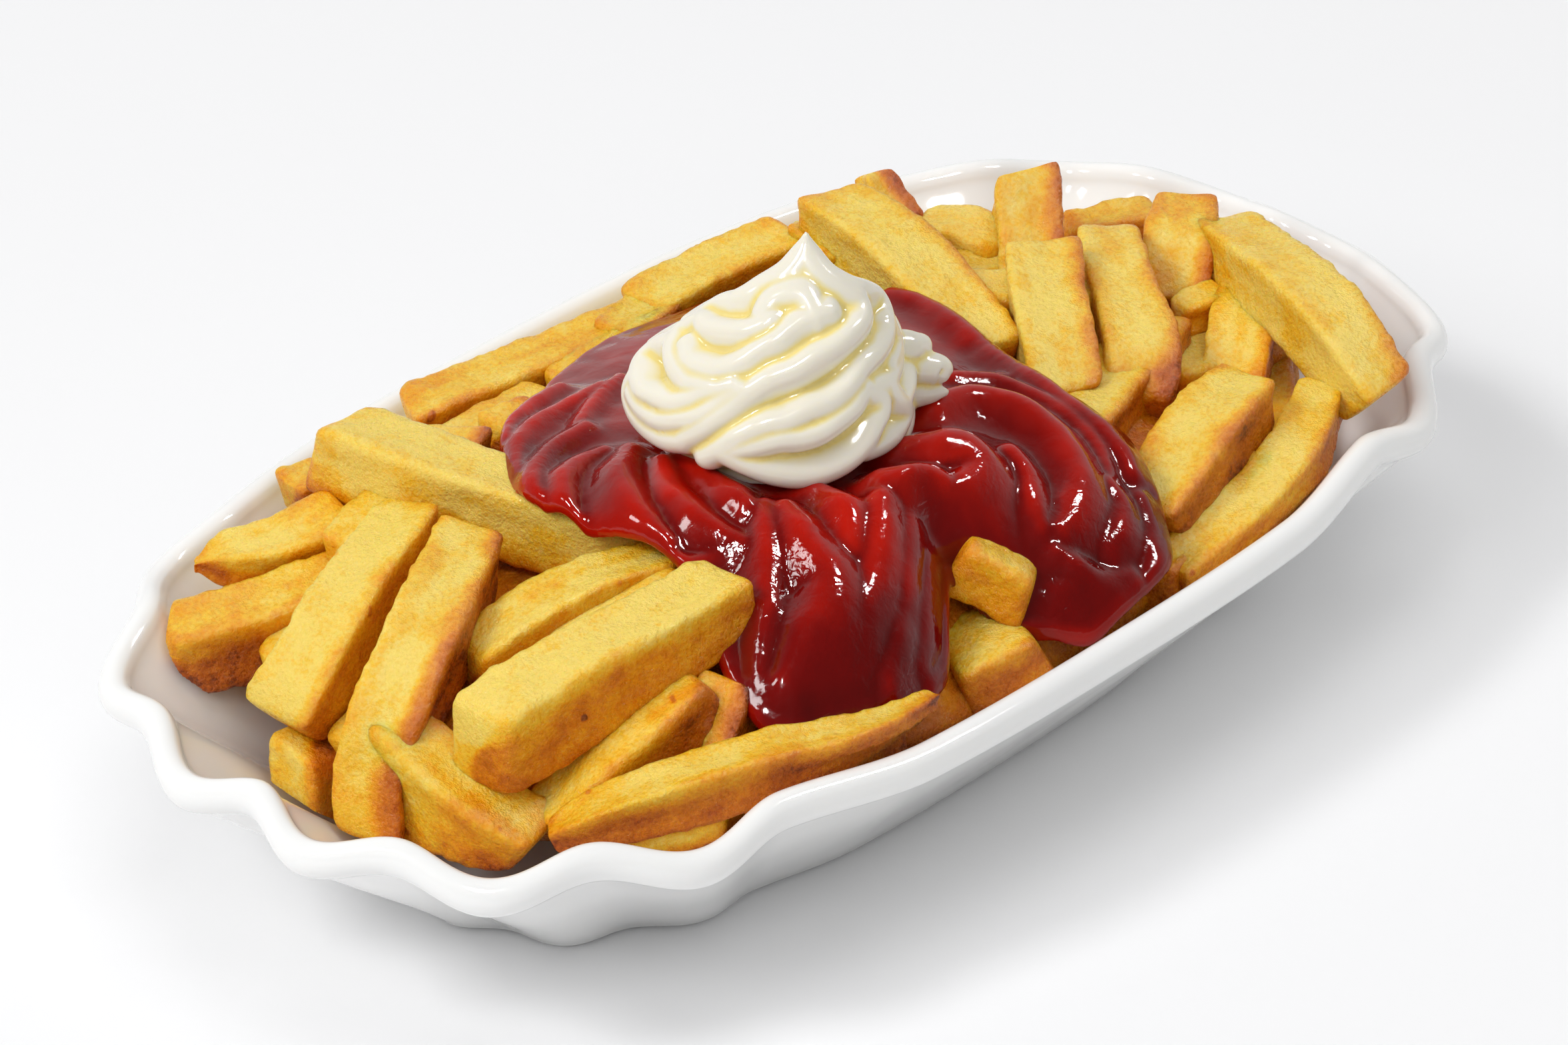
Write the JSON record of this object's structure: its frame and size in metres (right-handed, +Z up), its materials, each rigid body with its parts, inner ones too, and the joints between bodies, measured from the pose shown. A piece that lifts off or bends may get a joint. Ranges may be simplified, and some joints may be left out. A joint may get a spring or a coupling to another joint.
{
  "type": "french fries portion",
  "caption": "Heap of thick-cut fries in a white scalloped porcelain tray, topped with poured ketchup and a piped swirl of mayonnaise.",
  "frame": {"origin": "middle of the tray's flat base, on the surface that it stands on", "axes": "+Z up, +X along the tray, towards the end that lies farther from the camera in the picture"},
  "size_m": [0.219, 0.1222, 0.0832],
  "materials": {
    "porcelain": "glossy white glaze",
    "fries": "golden fried crust, slightly oily",
    "ketchup": "wet glossy sauce",
    "mayonnaise": "satin cream"
  },
  "bodies": {
    "root": {"tray": "porcelain", "fries": "fries", "ketchup": "ketchup", "mayonnaise": "mayonnaise"}
  },
  "joints": []
}
